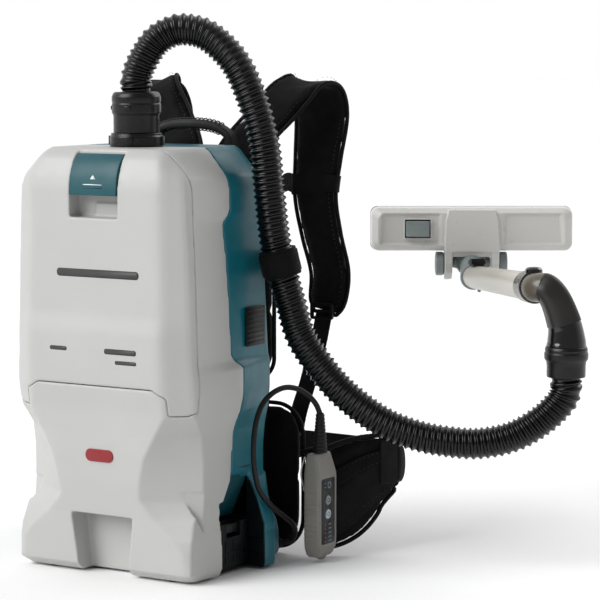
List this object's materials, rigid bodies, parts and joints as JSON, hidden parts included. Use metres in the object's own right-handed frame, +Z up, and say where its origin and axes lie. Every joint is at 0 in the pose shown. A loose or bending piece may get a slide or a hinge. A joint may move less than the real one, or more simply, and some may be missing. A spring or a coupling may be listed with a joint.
{
  "type": "backpack vacuum cleaner",
  "caption": "Cordless backpack vacuum cleaner: two-tone moulded unit on a padded harness, with a corrugated hose, hand elbow, wand, floor nozzle and hand control.",
  "frame": {"origin": "middle of the unit's footprint on the floor, with its harness and without the hose set", "axes": "+Z up, -Y towards the dust-cover side, +X towards the side where the hose runs"},
  "size_m": [0.7415, 0.7876, 0.6947],
  "materials": {
    "shell": "light warm grey moulded plastic",
    "teal": "deep teal moulded plastic",
    "latch": "teal moulded plastic",
    "black": "black moulded plastic",
    "pack": "dark teal-black moulded plastic",
    "red": "red moulded plastic",
    "steel": "bare steel",
    "rotor_alloy": "turned aluminium",
    "board": "green board",
    "rubber": "black rubber",
    "hose": "grey-black corrugated plastic",
    "smoke": "smoke-dark glossy plastic",
    "wand": "off-white plastic tube",
    "nozzle": "light grey moulded plastic",
    "grey": "mid grey moulded plastic",
    "bristle": "black bristle strip",
    "pendant": "warm grey moulded plastic",
    "key": "pale rubbery key",
    "pad": "black padded fabric",
    "webbing": "black woven webbing",
    "bag": "non-woven dust bag cloth",
    "filter": "pleated filter medium"
  },
  "bodies": {
    "root": {"front_housing": "shell", "rear_housing": "teal", "side_vent": "black", "battery_bay": "black", "inlet_tube": "black", "dust_bag": "bag", "bulkhead": "grey", "main_filter": "filter", "motor_can": "steel", "control_board": "board", "foot_left": "rubber", "foot_right": "rubber", "hose_cuff": "black", "hose_holder": "webbing", "hose": "hose", "end_cuff": "black", "pendant_case": "pendant", "belt_clip": "steel", "strain_relief": "rubber", "cable_gland": "rubber", "cable": "rubber", "harness_plate": "black", "back_pad": "pad", "lumbar_pad": "pad", "shoulder_pad_left": "pad", "shoulder_pad_right": "pad", "shoulder_web_left": "webbing", "shoulder_web_right": "webbing", "hip_wing_left": "pad", "hip_wing_right": "pad", "waist_web_left": "webbing", "waist_web_right": "webbing", "strap_slider_left": "webbing", "strap_slider_right": "webbing", "buckle_socket": "black", "buckle_tab": "black", "carry_handle": "black"},
    "cover": {"front_cover": "shell"},
    "latch": {"cover_latch": "latch"},
    "pack_right": {"battery_right": "pack"},
    "pack_left": {"battery_left": "pack"},
    "release_right": {"battery_button_right": "red"},
    "release_left": {"battery_button_left": "red"},
    "rotor": {"motor_shaft": "rotor_alloy", "impeller": "rotor_alloy"},
    "collar": {"intake_collar": "black"},
    "hand": {"elbow": "smoke"},
    "bleed": {"bleed_ring": "smoke"},
    "tube": {"wand": "wand"},
    "clip": {"lock_clip": "black"},
    "neck": {"neck": "grey"},
    "nozzle": {"nozzle_body": "nozzle", "sole_plate": "black"},
    "pedal": {"pedal": "grey"},
    "bristles": {"bristle_strip": "bristle"},
    "wheel_l": {"wheel_left": "grey"},
    "wheel_r": {"wheel_right": "grey"},
    "mode_key": {"mode_button": "key"},
    "power_key": {"power_button": "key"}
  },
  "joints": [
    {"name": "cover_hinge", "type": "hinge", "parent": "root", "child": "cover", "pos_m": [0, -0.20275, 0.2075], "axis": [1, 0, 0], "range_deg": [0, 85]},
    {"name": "latch_hinge", "type": "hinge", "parent": "cover", "child": "latch", "pos_m": [0, -0.18375, 0.521], "axis": [-1, 0, 0], "range_deg": [0, 24], "stiffness_Nm_per_rad": 0.6},
    {"name": "pack_right_slide", "type": "slide", "parent": "root", "child": "pack_right", "axis": [1, 0, 0], "range_m": [0, 0.125]},
    {"name": "pack_left_slide", "type": "slide", "parent": "root", "child": "pack_left", "axis": [-1, 0, 0], "range_m": [0, 0.125]},
    {"name": "release_right_press", "type": "slide", "parent": "pack_right", "child": "release_right", "axis": [0, 0, -1], "range_m": [0, 0.003], "stiffness_N_per_m": 500},
    {"name": "release_left_press", "type": "slide", "parent": "pack_left", "child": "release_left", "axis": [0, 0, -1], "range_m": [0, 0.003], "stiffness_N_per_m": 500},
    {"name": "rotor_spin", "type": "hinge", "parent": "root", "child": "rotor", "pos_m": [0, -0.04275, 0.15], "axis": [0, 0, 1], "continuous": true},
    {"name": "collar_twist", "type": "hinge", "parent": "root", "child": "collar", "pos_m": [0, -0.10875, 0.5304], "axis": [0, 0, 1], "range_deg": [0, 30]},
    {"name": "hand_swivel", "type": "hinge", "parent": "root", "child": "hand", "pos_m": [0.476, 0.13625, 0.2848], "axis": [0, 0, 1], "range_deg": [-45, 15]},
    {"name": "bleed_turn", "type": "hinge", "parent": "hand", "child": "bleed", "pos_m": [0.424, 0.14525, 0.355], "axis": [-0.629, 0.7751, -0.06], "range_deg": [0, 60]},
    {"name": "wand_twist", "type": "hinge", "parent": "hand", "child": "tube", "pos_m": [0.424, 0.14525, 0.355], "axis": [-0.629, 0.7751, -0.06], "range_deg": [-40, 40]},
    {"name": "clip_press", "type": "slide", "parent": "tube", "child": "clip", "axis": [0, 0, -1], "range_m": [0, 0.002], "stiffness_N_per_m": 300},
    {"name": "neck_swivel", "type": "hinge", "parent": "tube", "child": "neck", "pos_m": [0.183, 0.44225, 0.332], "axis": [-0.629, 0.7751, -0.06], "range_deg": [-60, 60]},
    {"name": "nozzle_tilt", "type": "hinge", "parent": "neck", "child": "nozzle", "pos_m": [0.153, 0.49025, 0.348], "axis": [0.848, 0.5299, 0], "range_deg": [-60, 8]},
    {"name": "pedal_rock", "type": "hinge", "parent": "nozzle", "child": "pedal", "pos_m": [0.09671, 0.43503, 0.397], "axis": [0.848, 0.5299, 0], "range_deg": [0, 12]},
    {"name": "bristle_drop", "type": "slide", "parent": "nozzle", "child": "bristles", "axis": [-0.5299, 0.848, 0], "range_m": [0, 0.0042]},
    {"name": "wheel_left_spin", "type": "hinge", "parent": "nozzle", "child": "wheel_l", "pos_m": [0.11887, 0.47128, 0.346], "axis": [0.848, 0.5299, 0], "continuous": true},
    {"name": "wheel_right_spin", "type": "hinge", "parent": "nozzle", "child": "wheel_r", "pos_m": [0.18501, 0.51261, 0.346], "axis": [0.848, 0.5299, 0], "continuous": true},
    {"name": "mode_press", "type": "slide", "parent": "root", "child": "mode_key", "axis": [-1, 0, 0], "range_m": [0, 0.0012], "stiffness_N_per_m": 400},
    {"name": "power_press", "type": "slide", "parent": "root", "child": "power_key", "axis": [-1, 0, 0], "range_m": [0, 0.0012], "stiffness_N_per_m": 400}
  ],
  "couplings": [
    {"joint": "bristle_drop", "follows": "pedal_rock", "m_per_rad": 0.0191}
  ]
}
